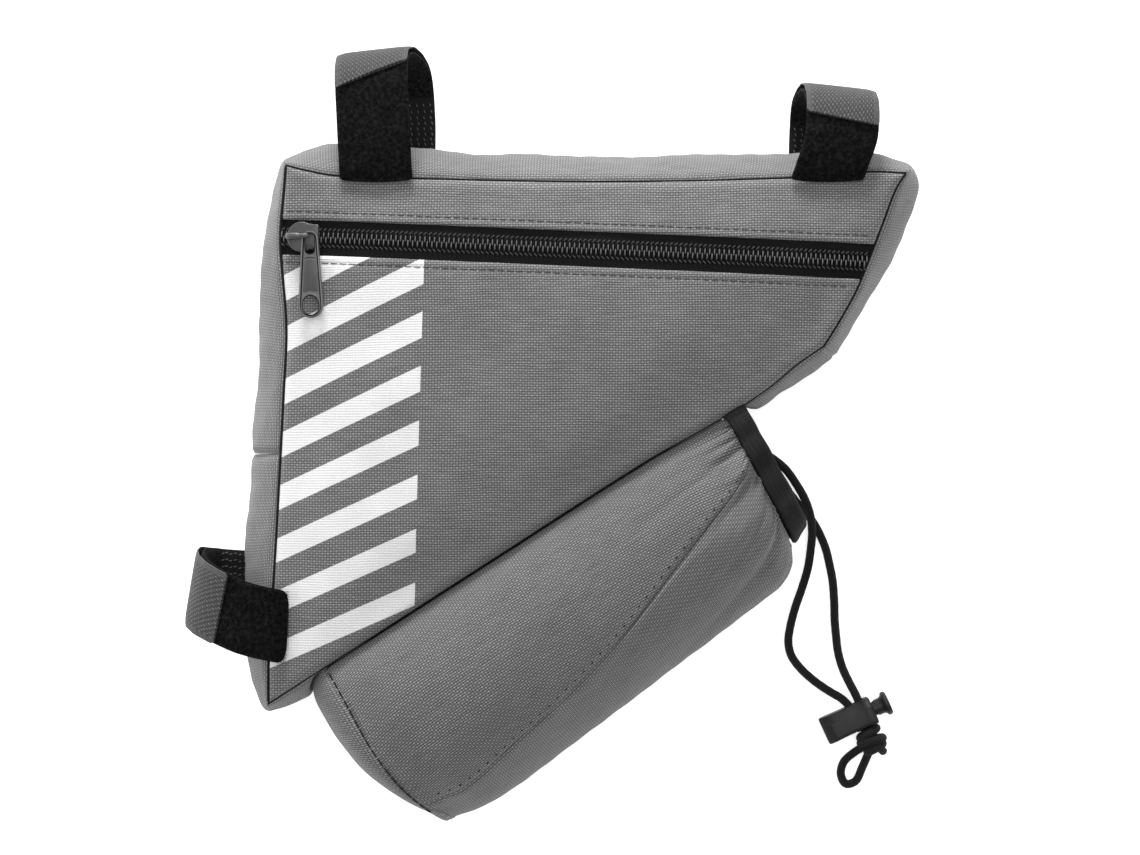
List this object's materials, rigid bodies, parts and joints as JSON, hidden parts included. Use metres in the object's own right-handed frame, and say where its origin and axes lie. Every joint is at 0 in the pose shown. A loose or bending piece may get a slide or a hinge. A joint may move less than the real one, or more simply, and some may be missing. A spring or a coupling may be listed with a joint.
{
  "type": "bicycle frame bag with a bottle pouch",
  "caption": "Triangular fabric bag that straps into a bicycle frame, with a zipped main pouch and a slanted bottle pouch with a drawcord.",
  "frame": {"origin": "a point of the back panel's flat face, about the middle of the main pouch", "axes": "+Z out of the front panel, away from the surface that the bag lies on; +Y towards the edge that hangs under a top tube; +X along that edge, away from the zip pull"},
  "size_m": [0.2564, 0.2703, 0.0613],
  "materials": {
    "polyester": "grey basket-weave polyester",
    "printed_polyester": "grey basket-weave polyester with matt white slanted bars printed on one side",
    "pouch_polyester": "unpadded grey basket-weave polyester",
    "zip_tape": "black knitted zip tape",
    "zip_coil": "black nylon coil",
    "zip_metal": "dark grey lacquered die-cast metal",
    "loop_pile": "black loop pile",
    "hook_tape": "dark grey woven back of hook tape, hooks inside",
    "binding_tape": "black woven binding tape",
    "elastic_cord": "black braided elastic cord",
    "lock_plastic": "dark grey moulded plastic"
  },
  "bodies": {
    "bag": {"back_panel": "polyester", "gusset_upper": "polyester", "gusset_lower": "polyester", "front_lower_panel": "printed_polyester", "front_upper_panel": "polyester", "zip_tape_upper": "zip_tape", "zip_tape_lower": "zip_tape", "zip_coil": "zip_coil", "zip_slider": "zip_metal", "top_left_strap_pile": "loop_pile", "top_left_strap_hook": "hook_tape", "top_right_strap_pile": "loop_pile", "top_right_strap_hook": "hook_tape", "lower_left_strap_pile": "loop_pile", "lower_left_strap_hook": "hook_tape", "pouch_front_panel": "pouch_polyester", "pouch_side_panel": "pouch_polyester", "pouch_end_panel": "pouch_polyester", "pouch_mouth_binding": "binding_tape", "cord_front_strand": "elastic_cord", "cord_back_strand": "elastic_cord", "cord_lock_body": "lock_plastic", "cord_knot": "elastic_cord"},
    "zip_pull": {"zip_pull": "zip_metal"},
    "cord_lock_button": {"cord_lock_button": "lock_plastic"}
  },
  "joints": [
    {"name": "zip_pull_hinge", "type": "hinge", "parent": "bag", "child": "zip_pull", "pos_m": [-0.09123, 0.06578, 0.0561], "axis": [-0.9781, -0.0109, -0.2076], "range_deg": [0, 150]},
    {"name": "cord_lock_press", "type": "slide", "parent": "bag", "child": "cord_lock_button", "axis": [-0.9085, -0.4179, 0], "range_m": [0, 0.003], "stiffness_N_per_m": 300}
  ]
}
